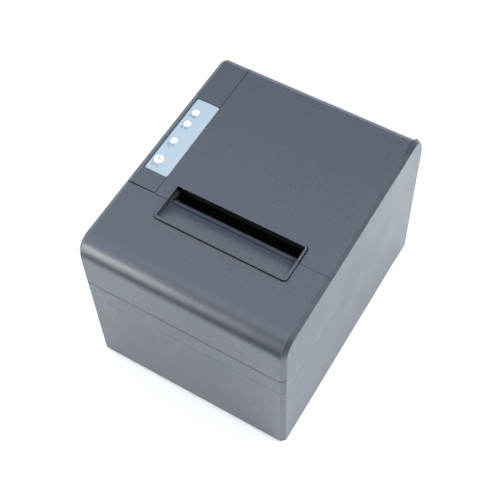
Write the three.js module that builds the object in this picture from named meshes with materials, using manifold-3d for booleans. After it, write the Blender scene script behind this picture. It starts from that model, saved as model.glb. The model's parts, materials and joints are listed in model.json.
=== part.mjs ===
// Desktop thermal receipt printer for 80 mm paper: a moulded case with a hinged paper lid, a sliding
// cutter cover, a print mechanism with its feed gears and cutter, a paper bucket and the electronics.
// Millimetres, +X to the printer's right seen from the front, +Z up. Inside the case group y is measured
// back from the front face; the group is shifted so that the origin is the centre of the base.
import * as THREE from 'three';
import { mergeVertices } from 'three/addons/utils/BufferGeometryUtils.js';
import Module from 'manifold-3d';

const wasm = await Module();
wasm.setup();

// ---------------------------------------------------------------- driving dimensions
const WIDTH = 145;            // across the side walls
const DEPTH = 183.5;          // front face to the ends of the rear wings
const HEIGHT = 135.5;         // rubber feet to the highest edge of the top
const REAR_FACE = 176;        // outer face of the rear wall, between the wings
const TOP_SLOPE = 0.012;      // the top falls this much per mm towards the front
const FOOT_HEIGHT = 2.5;      // base of the case above the table
const SKIRT_DROP = 1.5;       // how much further down the rear skirt reaches
const WALL = 2.5;             // moulding thickness
const GAP = 0.3;              // parting gap between separate pieces

const NOSE_LENGTH = 14;       // rounded front edge of the top, along y
const NOSE_HEIGHT = 13;       // and along z
const HINGE_RADIUS = 8;       // rear edge of the top, concentric with the lid hinge
const WING_TOP = { start: 169, knee: [180.4, 134.6], end: 112 };  // curve of the side wings' rear corner
const DRAFT = 0.9;            // how much wider the case is at its foot, on each side
const WING_INNER_X = 69.5;    // inner face of the side wings
const CHAMFER = { x: 2.9, top: 2.1, front: 2.7, back: 1.0 };

const CASE_SEAM_Z = 76.5;     // split between lower and upper case at the front
const CASE_SEAM_RISE = 0.28;  // slope of the split behind its bend
const CASE_SEAM_BEND = [82, 102];
const COVER_SEAM_Z = 93;      // lower edge of the front cover
const COVER_SEAM_Y = 56;      // rear edge of the front cover
const LID_SEAM_X = -51.4;     // left edge of the paper lid
const EAR_Y = 155;            // the side wall takes over the lid's edge chamfer behind this

const RECESS = { x0: -42.7, x1: 50.5, y0: 40.6, y1: 68.5, corner: 2.5 };
const RIM = { width: 1.5, height: 1.2, groove: 0.6, grooveDepth: 0.9 };
const PLATE = { y0: 41.5, y1: 61, depth0: 0.2, depth1: 7, thickness: 2.2 };
const PAPER_X = 4;            // centre of the paper path

const LABEL = { x0: -68.3, x1: -51.7, y0: 70, y1: 133.6, depth: 1.2, thickness: 0.4 };
const INDICATOR_X = -63.5;
const INDICATORS = [['power_led_lens', 123.2], ['error_led_lens', 112.8], ['paper_led_lens', 97.1]];
const LENS_RADIUS = 2.6;
const FEED_BUTTON = { y: 79.5, radius: 3.4 };

const ROLL = { y: 117, z: 76, inner: 42, outer: 44, x0: -37.5, x1: 45.5 };
const PLATEN = { y: 73.5, z: 108, radius: 7 };
const HEAD_ANGLE = THREE.MathUtils.degToRad(15);
const GEAR_MODULE = 0.8;
const GEAR_X = [-49.4, -46.4];
const PLATE_LEFT_X = [-45, -43.5];
const PLATE_RIGHT_X = [51.5, 53];
const BLADE_Z = 119;
const CRANK = { x: 22, y: 27, throw: 4 };

const hingeY = REAR_FACE - HINGE_RADIUS;
const topAt = (y) => HEIGHT - TOP_SLOPE * (REAR_FACE - y);
const hingeZ = topAt(hingeY) - HINGE_RADIUS;

// ---------------------------------------------------------------- materials
const finish = (color, roughness, metalness = 0) => ({ color, roughness, metalness });
const CASE_PLASTIC = finish(0x565b64, 0.55);
const DARK_PLASTIC = finish(0x1d1f23, 0.6);
const STEEL = finish(0xb4b8bc, 0.35, 1);
const BLADE_STEEL = finish(0xd0d3d6, 0.25, 1);
const RUBBER = finish(0x18181a, 0.9);
const ACETAL = finish(0xe6e4dc, 0.45);
const BOARD = finish(0x1f6b3a, 0.6);
const BRASS = finish(0xc9a24a, 0.35, 1);
const LABEL_FILM = finish(0xcfdff0, 0.4);
const LENS = finish(0xf4f6f8, 0.3);
const ALUMINIUM = finish(0xa9adb2, 0.4, 1);
const MOTOR_BLACK = finish(0x2a2b2e, 0.5, 0.3);

// ---------------------------------------------------------------- solids
function solid(geometry) {
  const bare = geometry.clone();
  bare.deleteAttribute('normal');
  bare.deleteAttribute('uv');
  const merged = mergeVertices(bare, 1e-4);
  return new wasm.Manifold(new wasm.Mesh({
    numProp: 3,
    vertProperties: new Float32Array(merged.attributes.position.array),
    triVerts: new Uint32Array(merged.index.array),
  }));
}

function geometryOf(body) {
  const mesh = body.getMesh();
  const geometry = new THREE.BufferGeometry();
  geometry.setAttribute('position', new THREE.BufferAttribute(new Float32Array(mesh.vertProperties), 3));
  geometry.setIndex(new THREE.BufferAttribute(new Uint32Array(mesh.triVerts), 1));
  const flat = geometry.toNonIndexed();
  flat.computeVertexNormals();
  return flat;
}

const join = (first, ...rest) => rest.reduce((body, other) => body.add(other), first);
const cut = (first, ...rest) => rest.reduce((body, other) => body.subtract(other), first);

function box(x0, x1, y0, y1, z0, z1) {
  const geometry = new THREE.BoxGeometry(x1 - x0, y1 - y0, z1 - z0);
  geometry.translate((x0 + x1) / 2, (y0 + y1) / 2, (z0 + z1) / 2);
  return solid(geometry);
}

// A disc or tube whose axis runs along 'x', 'y' or 'z' from start to end through the point centre.
function rod(axis, centre, radius, start, end, segments = 24, endRadius = radius) {
  const geometry = new THREE.CylinderGeometry(endRadius, radius, end - start, segments);
  geometry.translate(0, (start + end) / 2, 0);
  if (axis === 'x') geometry.applyMatrix4(AXIS_X).translate(0, centre[0], centre[1]);
  if (axis === 'y') geometry.translate(centre[0], 0, centre[1]);
  if (axis === 'z') geometry.applyMatrix4(AXIS_Z).translate(centre[0], centre[1], 0);
  return solid(geometry);
}
// turn a geometry built along +Y so that it runs along +X or +Z
const AXIS_X = new THREE.Matrix4().makeRotationZ(-Math.PI / 2);
const AXIS_Z = new THREE.Matrix4().makeRotationX(Math.PI / 2);
// an outline drawn as (y, z) is swept along +X
const SIDE_TO_X = new THREE.Matrix4().set(0, 0, 1, 0, 1, 0, 0, 0, 0, 1, 0, 0, 0, 0, 0, 1);
// an outline drawn as (x, z) is swept along -Y
const FRONT_TO_Y = new THREE.Matrix4().makeRotationX(Math.PI / 2);

function shapeOf(points) {
  return new THREE.Shape(points.map(([u, v]) => new THREE.Vector2(u, v)));
}

function extruded(shape, depth) {
  return new THREE.ExtrudeGeometry(shape, { depth, bevelEnabled: false, curveSegments: 6 });
}

// Sweep an outline in the side view (y, z) from x0 to x1.
function sideSlab(points, x0, x1) {
  return solid(extruded(shapeOf(points), x1 - x0).applyMatrix4(SIDE_TO_X).translate(x0, 0, 0));
}

// Sweep an outline in the front view (x, z) from y0 to y1.
function frontSlab(points, y0, y1) {
  return solid(extruded(shapeOf(points), y1 - y0).applyMatrix4(FRONT_TO_Y).translate(0, y1, 0));
}

// Sweep an outline in the plan view (x, y), given as points or a Shape, from z0 to z1.
function planSlab(outline, z0, z1) {
  const shape = outline instanceof THREE.Shape ? outline : shapeOf(outline);
  return solid(extruded(shape, z1 - z0).translate(0, 0, z0));
}

// A slab that follows the slope of the top, between two depths under it.
function topSlab(x0, x1, y0, y1, depth0, depth1) {
  return sideSlab([
    [y0, topAt(y0) - depth1], [y1, topAt(y1) - depth1],
    [y1, topAt(y1) - depth0], [y0, topAt(y0) - depth0],
  ], x0, x1);
}

function roundedPlan(x0, x1, y0, y1, radius) {
  const shape = new THREE.Shape();
  shape.moveTo(x0 + radius, y0);
  shape.lineTo(x1 - radius, y0);
  shape.absarc(x1 - radius, y0 + radius, radius, -Math.PI / 2, 0);
  shape.lineTo(x1, y1 - radius);
  shape.absarc(x1 - radius, y1 - radius, radius, 0, Math.PI / 2);
  shape.lineTo(x0 + radius, y1);
  shape.absarc(x0 + radius, y1 - radius, radius, Math.PI / 2, Math.PI);
  shape.lineTo(x0, y0 + radius);
  shape.absarc(x0 + radius, y0 + radius, radius, Math.PI, 1.5 * Math.PI);
  return shape;
}

// Join matching outlines (y, z) at the given x stations into one closed body.
function loft(stations) {
  const count = stations[0].outline.length;
  const positions = stations.flatMap(({ x, outline }) => outline.flatMap(([y, z]) => [x, y, z]));
  const contour = stations[0].outline.map(([y, z]) => new THREE.Vector2(y, z));
  const cap = THREE.ShapeUtils.triangulateShape(contour, []);
  const last = (stations.length - 1) * count;
  const index = [];
  for (const [a, b, c] of cap) index.push(a, c, b, last + a, last + b, last + c);
  for (let k = 0; k < last; k += count) {
    for (let i = 0; i < count; i += 1) {
      const j = (i + 1) % count;
      index.push(k + i, k + j, k + count + i, k + j, k + count + j, k + count + i);
    }
  }
  const geometry = new THREE.BufferGeometry();
  geometry.setAttribute('position', new THREE.Float32BufferAttribute(positions, 3));
  geometry.setIndex(index);
  return solid(geometry);
}

// ---------------------------------------------------------------- assembly helpers
const printer = new THREE.Group();
const casing = new THREE.Group();
casing.position.y = -DEPTH / 2;
printer.add(casing);

function place(name, body, look, group = casing) {
  const mesh = new THREE.Mesh(geometryOf(body), new THREE.MeshStandardMaterial(look));
  mesh.name = name;
  group.add(mesh);
  return mesh;
}

// ---------------------------------------------------------------- case outline
function arc(centre, radii, from, to, steps) {
  return Array.from({ length: steps + 1 }, (_, i) => {
    const angle = from + ((to - from) * i) / steps;
    return [centre[0] + radii[0] * Math.cos(angle), centre[1] + radii[1] * Math.sin(angle)];
  });
}

// Side outline of the case between the wings, set in from its outer faces.
function caseOutline(inset) {
  const noseCentre = [NOSE_LENGTH, topAt(NOSE_LENGTH) - NOSE_HEIGHT];
  const nose = [NOSE_LENGTH - inset.front, NOSE_HEIGHT - inset.top];
  const rear = [HINGE_RADIUS - inset.back, HINGE_RADIUS - inset.top];
  return [
    [REAR_FACE - inset.back, FOOT_HEIGHT + inset.base],
    ...arc([hingeY, hingeZ], rear, 0, Math.PI / 2, 6),
    ...arc(noseCentre, nose, Math.PI / 2, Math.PI, 10),
    [inset.front, FOOT_HEIGHT + inset.base],
  ];
}

// The case as a full block, or set in evenly by a wall thickness for its cavity.
function caseBlock(inset, base = inset) {
  const full = caseOutline({ front: inset, top: inset, back: inset, base });
  const edge = caseOutline({
    front: CHAMFER.front + inset, top: CHAMFER.top + inset, back: CHAMFER.back + inset, base,
  });
  const outerX = WIDTH / 2 - inset;
  const innerX = WIDTH / 2 - CHAMFER.x - 0.6 * inset;
  return loft([
    { x: -outerX, outline: edge }, { x: -innerX, outline: full },
    { x: innerX, outline: full }, { x: outerX, outline: edge },
  ]);
}

// Side wing that shields the rear connectors: rounded at the top, with a skirt at the foot.
function wing(side, drop) {
  const { start, knee, end } = WING_TOP;
  const outline = (top, back) => {
    const corner = new THREE.QuadraticBezierCurve(
      new THREE.Vector2(DEPTH - back, end - drop),
      new THREE.Vector2(knee[0] - back, knee[1] - top - drop),
      new THREE.Vector2(start, topAt(start) - top - drop));
    return [
      [160, FOOT_HEIGHT], [165, FOOT_HEIGHT], [172, FOOT_HEIGHT - SKIRT_DROP],
      [DEPTH - back, FOOT_HEIGHT - SKIRT_DROP],
      ...corner.getPoints(10).map(({ x, y }) => [x, y]),
      [160, topAt(160) - top - drop],
    ];
  };
  const flat = outline(0, 0);
  const edge = outline(CHAMFER.top, CHAMFER.back);
  const stations = [
    { x: WING_INNER_X, outline: flat },
    { x: WIDTH / 2 - CHAMFER.x + 0.4, outline: flat },
    { x: WIDTH / 2, outline: edge },
  ];
  if (side > 0) return loft(stations);
  return loft(stations.map(({ x, outline: points }) => ({ x: -x, outline: points })).reverse());
}

function seamAt(y) {
  const [start, end] = CASE_SEAM_BEND;
  const bend = end - start;
  if (y <= start) return CASE_SEAM_Z;
  if (y < end) return CASE_SEAM_Z + (CASE_SEAM_RISE * (y - start) ** 2) / (2 * bend);
  return CASE_SEAM_Z + CASE_SEAM_RISE * (bend / 2 + y - end);
}

// Everything below the case seam, raised by lift.
function belowSeam(lift) {
  const stations = [190, 102, 97, 92, 87, 82, -5];
  return sideSlab([[-5, -5], [190, -5], ...stations.map((y) => [y, seamAt(y) + lift])], -80, 80);
}

// Widen the outer side faces of a moulding towards its foot; posts and holes further in stay put.
function drafted(body) {
  const geometry = geometryOf(body);
  const { position } = geometry.attributes;
  for (let i = 0; i < position.count; i += 1) {
    const x = position.getX(i);
    const share = THREE.MathUtils.clamp((Math.abs(x) - 66) / 3, 0, 1);
    position.setX(i, x + Math.sign(x) * share * DRAFT * (1 - position.getZ(i) / HEIGHT));
  }
  return solid(geometry);
}

const outerCase = join(caseBlock(0), wing(1, 0), wing(-1, 3));
const shell = cut(outerCase, caseBlock(WALL));
const sheet = cut(caseBlock(0), caseBlock(WALL));

// ---------------------------------------------------------------- parting of the top
// The side walls end just under the edge chamfers; cover and lid sit on them.
function sideWallZone(side, x, land) {
  const outline = caseOutline({
    front: CHAMFER.front + land, top: CHAMFER.top + land, back: CHAMFER.back + land, base: -5,
  });
  return side > 0 ? sideSlab(outline, x, 80) : sideSlab(outline, -80, -x);
}
const wallUnderCover = (side) => sideWallZone(side, WIDTH / 2 - WALL - GAP, 0.5 + GAP);
const coverCut = (side) => sideWallZone(side, WIDTH / 2 - WALL - 2 * GAP, 0.5);

// The part of the right edge chamfer that belongs to the side wall, split along a slant.
function earZone(x, shift) {
  const slant = (z) => EAR_Y + shift + (z - topAt(EAR_Y));
  return sideSlab([[slant(118), 118], [190, 118], [190, 140], [slant(140), 140]], x, 80);
}

const half = GAP / 2;
const coverZone = box(-80, 80, -5, COVER_SEAM_Y - half, COVER_SEAM_Z + half, 145);
const coverOpening = cut(join(box(-80, 80, -5, COVER_SEAM_Y + half, COVER_SEAM_Z - half, 145),
  box(-80, LID_SEAM_X, 50, COVER_SEAM_Y + half + 0.25, 118, 145)), wallUnderCover(1), wallUnderCover(-1));
const lidZone = box(LID_SEAM_X + half, 80, COVER_SEAM_Y + half, hingeY, 118, 145);
const lidOpening = cut(
  join(box(LID_SEAM_X - half, 80, COVER_SEAM_Y - 1, hingeY, 118, 145),
    rod('x', [hingeY, hingeZ], HINGE_RADIUS + 0.35, LID_SEAM_X - half, WING_INNER_X, 48),
    box(LID_SEAM_X - half, WING_INNER_X, hingeY - 1, 180, 121.5, 130)),
  wallUnderCover(1), earZone(WING_INNER_X, 0));

// ---------------------------------------------------------------- lower case
const POSTS = [[-46, 94], [-46, 150], [54, 84], [54, 150]];
const MECHANISM_POSTS = [[-38, 50], [46, 50]];
const FRAME_Z = 68;           // underside of the print mechanism's frame
const CORNER_BOSSES = [[-64.5, 14], [64.5, 14], [-64.5, 160], [64.5, 160]];
const INTERFACE = { x0: -52, x1: 56, z0: 8, z1: 34 };
const SWITCH = { y: 32, z: 40, length: 21, height: 14.4 };
const FLOOR_Z = FOOT_HEIGHT + WALL;

// Walls of the lower half, open at the foot for the base plate.
function lowerCase() {
  const body = cut(shell.intersect(belowSeam(0)), caseBlock(WALL, -1));
  const halfLength = SWITCH.length / 2 + GAP;
  const halfHeight = SWITCH.height / 2 + GAP;
  const interfaceWindow = box(INTERFACE.x0, INTERFACE.x1, 170, 180, INTERFACE.z0, INTERFACE.z1);
  const switchWindow = box(-80, -66, SWITCH.y - halfLength, SWITCH.y + halfLength,
    SWITCH.z - halfHeight, SWITCH.z + halfHeight);
  const bezelPocket = box(-80, -71.6, SWITCH.y - halfLength - 1, SWITCH.y + halfLength + 1,
    SWITCH.z - halfHeight - 1, SWITCH.z + halfHeight + 1);
  return cut(body, interfaceWindow, switchWindow, bezelPocket);
}

// Floor of the case with the posts that carry the boards, the bucket and the print mechanism.
function basePlate() {
  let body = caseBlock(WALL + GAP, 0).intersect(box(-80, 80, 0, 180, FOOT_HEIGHT, FLOOR_Z));
  for (const [x, y] of POSTS) {
    body = body.add(rod('z', [x, y], 4, FLOOR_Z - 1, 95.7, 12));
  }
  for (const [x, y] of MECHANISM_POSTS) {
    body = body.add(rod('z', [x, y], 4, FLOOR_Z - 1, FRAME_Z - GAP, 12));
  }
  for (const [x, y] of CORNER_BOSSES) {
    body = body.add(rod('z', [x, y], 4.6, FLOOR_Z - 1, 58.7, 16));
    body = body.subtract(rod('z', [x, y], 3.6, FOOT_HEIGHT - 1, 52, 16));
    body = body.subtract(rod('z', [x, y], 1.8, 50, 60, 12));
  }
  for (const [x, y] of BOARD_POSTS) {
    body = body.add(rod('z', [x, y], 2.6, FLOOR_Z - 1, BOARD_Z - GAP, 10));
  }
  for (const [x, y] of FEET) {
    body = body.subtract(rod('z', [x, y], FOOT.radius + GAP, 0, FOOT_HEIGHT + 1, 20));
  }
  return body;
}

// ---------------------------------------------------------------- upper case
const LATCH = { y0: 89, y1: 95, x: -61, z: 109, buttonZ: 98 };
const STRIP_WALL_X = [LID_SEAM_X - half - 2, LID_SEAM_X - half];

function upperCase() {
  let body = cut(shell, belowSeam(GAP), coverOpening, lidOpening);
  const stripWall = box(...STRIP_WALL_X, COVER_SEAM_Y + half, REAR_FACE - WALL - 2 * GAP, 92, 118);
  const stripWallTop = topSlab(...STRIP_WALL_X, COVER_SEAM_Y + half, hingeY - 4, 1, 20);
  const labelPad = topSlab(-70.5, LID_SEAM_X - half, LABEL.y0 - 2, LABEL.y1 + 2, 1, 3.6);
  body = join(body, stripWall, stripWallTop, labelPad);
  body = body.subtract(topSlab(LABEL.x0 - 0.2, -50, LABEL.y0 - 0.2, LABEL.y1 + 0.2, -1, LABEL.depth));
  for (const [, y] of INDICATORS) {
    body = body.subtract(rod('z', [INDICATOR_X, y], LENS_RADIUS + GAP, 128, 137, 20));
  }
  body = body.subtract(rod('z', [INDICATOR_X, FEED_BUTTON.y], FEED_BUTTON.radius + GAP, 128, 137, 24));
  // slot for the latch nose and opening for its button
  body = body.subtract(box(-56, -50, LATCH.y0 - 1, LATCH.y1 + 1, 114.5, 122));
  body = body.subtract(
    box(-80, -66, RELEASE.y0 - GAP, RELEASE.y1 + GAP, RELEASE.z0 - GAP, RELEASE.z1 + GAP));
  for (const y of [LABEL.y0 + 6, LABEL.y1 - 6]) {
    body = body.add(rod('z', [-58, y], 1.8, 125.7, 132, 12));
  }
  // bearings of the lid hinge
  body = body.add(rod('x', [hingeY, hingeZ], 6.5, STRIP_WALL_X[0] - 2, STRIP_WALL_X[1], 24));
  body = body.subtract(rod('x', [hingeY, hingeZ], 2.8, -60, -50, 16));
  body = body.subtract(rod('x', [hingeY, hingeZ], 2.8, 66, 71.1, 16));
  for (const [x, y] of CORNER_BOSSES) {
    const wall = Math.sign(x) * (WIDTH / 2 - WALL + 0.5);
    const webFoot = seamAt(y + 4) + 2;
    const web = box(Math.min(x, wall), Math.max(x, wall), y - 3, y + 3, webFoot, webFoot + 16);
    const post = rod('z', [x, y], 4, 59, webFoot + 16, 12);
    body = cut(join(body, web, post), rod('z', [x, y], 1.8, 58, 72, 12));
  }
  return body;
}

// ---------------------------------------------------------------- front cover and tear bar
function rimRing(outset, inset) {
  const outer = roundedPlan(RECESS.x0 - outset, RECESS.x1 + outset, RECESS.y0 - outset,
    RECESS.y1 + outset, RECESS.corner + outset);
  const inner = roundedPlan(RECESS.x0 + inset, RECESS.x1 - inset, RECESS.y0 + inset,
    RECESS.y1 - inset, RECESS.corner - inset);
  return cut(planSlab(outer, 100, 150), planSlab(inner, 90, 160));
}

function withRim(body, zone, wallDepth) {
  const hole = planSlab(roundedPlan(RECESS.x0 + 0.5, RECESS.x1 - 0.5, RECESS.y0 + 0.5,
    RECESS.y1 - 0.5, RECESS.corner - 0.5), 100, 150);
  const groove = rimRing(RIM.groove, 0.01).intersect(topSlab(-80, 80, 20, 100, -3, RIM.grooveDepth));
  const rim = rimRing(0, RIM.width).intersect(topSlab(-80, 80, 20, 100, -RIM.height, wallDepth));
  return join(cut(body, hole, groove), rim.intersect(zone));
}

function exitPlate() {
  const { y0, y1, depth0, depth1, thickness } = PLATE;
  const outline = [
    [y0, topAt(y0) - depth0], [y0, topAt(y0) - depth0 - 3],
    [y1, topAt(y1) - depth1 - thickness], [y1, topAt(y1) - depth1],
  ];
  const wide = sideSlab(outline, RECESS.x0 + 0.5, RECESS.x1 - 0.5);
  const tongue = box(RECESS.x0 + RIM.width + 0.4, RECESS.x1 - RIM.width - 0.4, 50, 70, 110, 140);
  const front = box(-80, 80, 30, COVER_SEAM_Y - half, 110, 140);
  return wide.intersect(join(tongue, front));
}

function frontCover() {
  const body = cut(sheet.intersect(coverZone), coverCut(1), coverCut(-1));
  return join(withRim(body, coverZone, PLATE.depth1 + 1), exitPlate());
}

const plateAngle = Math.atan2(
  topAt(PLATE.y1) - PLATE.depth1 - topAt(PLATE.y0) + PLATE.depth0, PLATE.y1 - PLATE.y0);

// Serrated strip above the rear end of the exit plate, teeth towards the front.
function tearBar() {
  const pitch = 1.5;
  const x0 = RECESS.x0 + RIM.width + 0.8;
  const teeth = Math.floor((RECESS.x1 - RIM.width - 0.8 - x0) / pitch);
  const points = [[x0 + teeth * pitch, -2.2], [x0 + teeth * pitch, 0], [x0, 0], [x0, -2.2]];
  for (let i = 0; i < teeth; i += 1) {
    points.push([x0 + (i + 0.5) * pitch, -3.4]);
    if (i < teeth - 1) points.push([x0 + (i + 1) * pitch, -2.2]);
  }
  return planSlab(points, 0, 0.5);
}

// ---------------------------------------------------------------- paper lid
function paperLid() {
  let body = cut(sheet.intersect(lidZone), coverCut(1), earZone(WING_INNER_X - GAP, -GAP * 1.5));
  body = withRim(body, lidZone, 4);
  const barrel = rod('x', [hingeY, hingeZ], HINGE_RADIUS, LID_SEAM_X + half, WING_INNER_X - GAP, 48);
  const bore = rod('x', [hingeY, hingeZ], 5.4, LID_SEAM_X - 5, WING_INNER_X + 5, 32);
  const cheek = (x0, x1) => rod('x', [hingeY, hingeZ], 6, x0, x1, 32);
  body = cut(join(body, barrel), bore);
  body = join(body, cheek(LID_SEAM_X + half, LID_SEAM_X + half + 4),
    cheek(WING_INNER_X - GAP - 4, WING_INNER_X - GAP));
  return cut(body, rod('x', [hingeY, hingeZ], 2.8, -60, 80, 16));
}

// Inner frame of the lid: a stiffening deck, two arms that hold the platen, and the latch catch.
function lidLiner() {
  const deck = topSlab(-38, 46, 76, 156, WALL + GAP, WALL + 4);
  const front = topSlab(-42.6, 50.6, 76, 84, WALL + GAP, WALL + 6);
  const arm = (x0, x1) => sideSlab([
    [PLATEN.y - 4.6, PLATEN.z - 5], [PLATEN.y + 5, PLATEN.z - 5], [90, 122],
    [90, topAt(90) - WALL - GAP], [76, topAt(76) - WALL - GAP], [PLATEN.y - 4.6, 119],
  ], x0, x1);
  const catchPlate = box(-49, -47.4, LATCH.y0, LATCH.y1, 113.8, 129);
  const catchFoot = box(-50.8, -47.4, LATCH.y0, LATCH.y1, 113.8, 116);
  const catchArm = topSlab(-49, -37, LATCH.y0, LATCH.y1, WALL + GAP, WALL + 5);
  const chute = sideSlab([[66, 121], [79, 121], [82, 128], [77, 128], [75.5, 122.4], [66, 122.4]], -42, 50);
  const arms = [arm(-42.6, -40.4), arm(48.4, 50.6)];
  const body = join(deck, front, ...arms, chute, catchPlate, catchFoot, catchArm);
  return cut(body, rod('x', [PLATEN.y, PLATEN.z], 2.3, -60, 60, 20));
}

// ---------------------------------------------------------------- gears and platen
// Spur gear outline with straight-flanked teeth; phase 0 puts a tooth on +X of the outline.
function gearShape(teeth, phase) {
  const pitchRadius = (GEAR_MODULE * teeth) / 2;
  const tip = pitchRadius + 0.8 * GEAR_MODULE;
  const root = pitchRadius - 1.15 * GEAR_MODULE;
  const step = (2 * Math.PI) / teeth;
  const points = [];
  for (let i = 0; i < teeth; i += 1) {
    const middle = phase + i * step;
    for (const [radius, share] of [[root, -0.27], [tip, -0.1], [tip, 0.1], [root, 0.27]]) {
      const angle = middle + share * step;
      points.push([radius * Math.cos(angle), radius * Math.sin(angle)]);
    }
  }
  return points;
}

function gear(teeth, [y, z], phase, boreRadius) {
  const outline = gearShape(teeth, phase).map(([u, v]) => [y + u, z + v]);
  return cut(sideSlab(outline, ...GEAR_X), rod('x', [y, z], boreRadius, -60, -40, 16));
}

const TEETH = { platen: 30, idler: 20, pinion: 12 };
const MOTOR = { y: 56, z: 84 };
const pitch = (a, b) => (GEAR_MODULE * (TEETH[a] + TEETH[b])) / 2;

// The idler meshes with both others: its centre is where their two centre distances meet.
function idlerCentre() {
  const toMotor = new THREE.Vector2(MOTOR.y - PLATEN.y, MOTOR.z - PLATEN.z);
  const span = toMotor.length();
  const toPlaten = pitch('platen', 'idler');
  const toPinion = pitch('idler', 'pinion');
  const along = (toPlaten ** 2 - toPinion ** 2 + span ** 2) / (2 * span);
  const aside = Math.sqrt(toPlaten ** 2 - along ** 2);
  const unit = toMotor.divideScalar(span);
  return [PLATEN.y + along * unit.x - aside * unit.y, PLATEN.z + along * unit.y + aside * unit.x];
}
const idler = idlerCentre();

// Phase that puts a tooth gap of the second gear where the first gear has a tooth on the line of centres.
function meshPhase(from, to, fromPhase, fromTeeth, toTeeth) {
  const line = Math.atan2(to[1] - from[1], to[0] - from[0]);
  const turned = (line - fromPhase) / ((2 * Math.PI) / fromTeeth);
  return line + Math.PI + (turned + 0.5) * ((2 * Math.PI) / toTeeth);
}
const platenPhase = 0;
const idlerPhase = meshPhase([PLATEN.y, PLATEN.z], idler, platenPhase, TEETH.platen, TEETH.idler);
const pinionPhase = meshPhase(idler, [MOTOR.y, MOTOR.z], idlerPhase, TEETH.idler, TEETH.pinion);

function motorPinion() {
  const shaft = rod('x', [MOTOR.y, MOTOR.z], 1.5, -50, -45.1, 16);
  return gear(TEETH.pinion, [MOTOR.y, MOTOR.z], pinionPhase, 1).add(shaft);
}

function platenShaft() {
  return rod('x', [PLATEN.y, PLATEN.z], 2, -51, 54.5, 20);
}

function platenRoller() {
  const tube = rod('x', [PLATEN.y, PLATEN.z], PLATEN.radius, PAPER_X - 41.5, PAPER_X + 41.5, 40);
  return cut(tube, rod('x', [PLATEN.y, PLATEN.z], 2.05, -60, 60, 20));
}

function bushing(x0, x1) {
  const ring = rod('x', [PLATEN.y, PLATEN.z], 4, x0, x1, 24);
  return cut(ring, rod('x', [PLATEN.y, PLATEN.z], 2.05, -60, 60, 20));
}

// ---------------------------------------------------------------- print mechanism
function sidePlate(x0, x1) {
  const plate = sideSlab([
    [44, FRAME_Z], [79, FRAME_Z], [79, 115.6], [66, 115.6], [56, 112], [44, 112],
  ], x0, x1);
  const slot = sideSlab([
    [PLATEN.y - 4.4, PLATEN.z], ...arc([PLATEN.y, PLATEN.z], [4.4, 4.4], Math.PI, 2 * Math.PI, 10),
    [PLATEN.y + 4.4, 120], [PLATEN.y - 6.4, 120],
  ], x0 - 1, x1 + 1);
  return cut(plate, slot);
}

function mechanismFrame() {
  const base = box(PLATE_LEFT_X[0], PLATE_RIGHT_X[1], 44, 71, FRAME_Z, FRAME_Z + 1.5);
  const bridge = box(PLATE_LEFT_X[0], PLATE_RIGHT_X[1], 46, 47.5, 98, 112);
  let body = join(base, bridge, sidePlate(...PLATE_LEFT_X), sidePlate(...PLATE_RIGHT_X));
  body = body.subtract(rod('x', [MOTOR.y, MOTOR.z], 4.2, -50, -40, 20));
  return body.subtract(rod('x', idler, 1.3, -50, -40, 12));
}

// Head parts are drawn upright at the platen's front and turned about its axis.
const headGroup = new THREE.Group();
headGroup.position.set(0, PLATEN.y, PLATEN.z);
headGroup.rotation.x = HEAD_ANGLE;
casing.add(headGroup);

function printHead() {
  const y = -PLATEN.radius - GAP;
  const ceramic = box(PAPER_X - 42, PAPER_X + 42, y - 1, y, -8, 4.5);
  return cut(ceramic, box(PAPER_X - 60, PAPER_X + 60, y - 0.3, y + 1, 2.2, 6));
}

function headHeatsink() {
  const back = -PLATEN.radius - GAP - 1.3;
  let body = box(PAPER_X - 42, PAPER_X + 42, back - 2.5, back, -9, 4.5);
  for (let x = -36; x <= 36; x += 12) {
    body = body.add(box(PAPER_X + x - 0.75, PAPER_X + x + 0.75, back - 6, back - 2, -9, 4.5));
  }
  return body;
}

// Compression spring standing along y, its wire closed at both ends.
function headSpring(x) {
  class Helix extends THREE.Curve {
    getPoint(t, target = new THREE.Vector3()) {
      const angle = 2 * Math.PI * 4 * t;
      return target.set(x + 2.4 * Math.cos(angle), 48.3 + 13.6 * t, 101 + 2.4 * Math.sin(angle));
    }
  }
  const wire = shapeOf(arc([0, 0], [0.35, 0.35], 0, (2 * Math.PI * 5) / 6, 5));
  const geometry = new THREE.ExtrudeGeometry(wire, {
    steps: 40, bevelEnabled: false, extrudePath: new Helix(),
  });
  return solid(geometry);
}

function feedMotor() {
  const can = rod('x', [MOTOR.y, MOTOR.z], 12.5, -43.2, -24, 32);
  const shoulder = rod('x', [MOTOR.y, MOTOR.z], 3.8, -44.8, -42, 20);
  const flange = box(-43.2, -42.2, MOTOR.y - 4, MOTOR.y + 4, MOTOR.z - 12.8, MOTOR.z + 12.8);
  const terminal = box(-38, -28, MOTOR.y - 6, MOTOR.y + 6, MOTOR.z - 13.6, MOTOR.z - 10);
  return join(can, shoulder, flange, terminal);
}

// ---------------------------------------------------------------- cutter
function cutterTray() {
  const tray = box(-43, 51, 17, 60.5, 116.4, 117.6);
  const rail = (x0, x1) => box(x0, x1, 17, 60.5, 117, 120.6);
  const motorHole = rod('z', [CRANK.x, CRANK.y], 7.4, 110, 125, 24);
  const leg = (x0, x1) => box(x0, x1, 17, 43.4, 94, 117);
  const stay = (x0, x1) => box(x0, x1, 42, 45.7, 94, 112);
  return cut(join(tray, rail(-43, -41.2), rail(49.2, 51), leg(-43, -41.5), leg(49.5, 51),
    stay(-43, -41.5), stay(49.5, 51)), motorHole);
}

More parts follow.
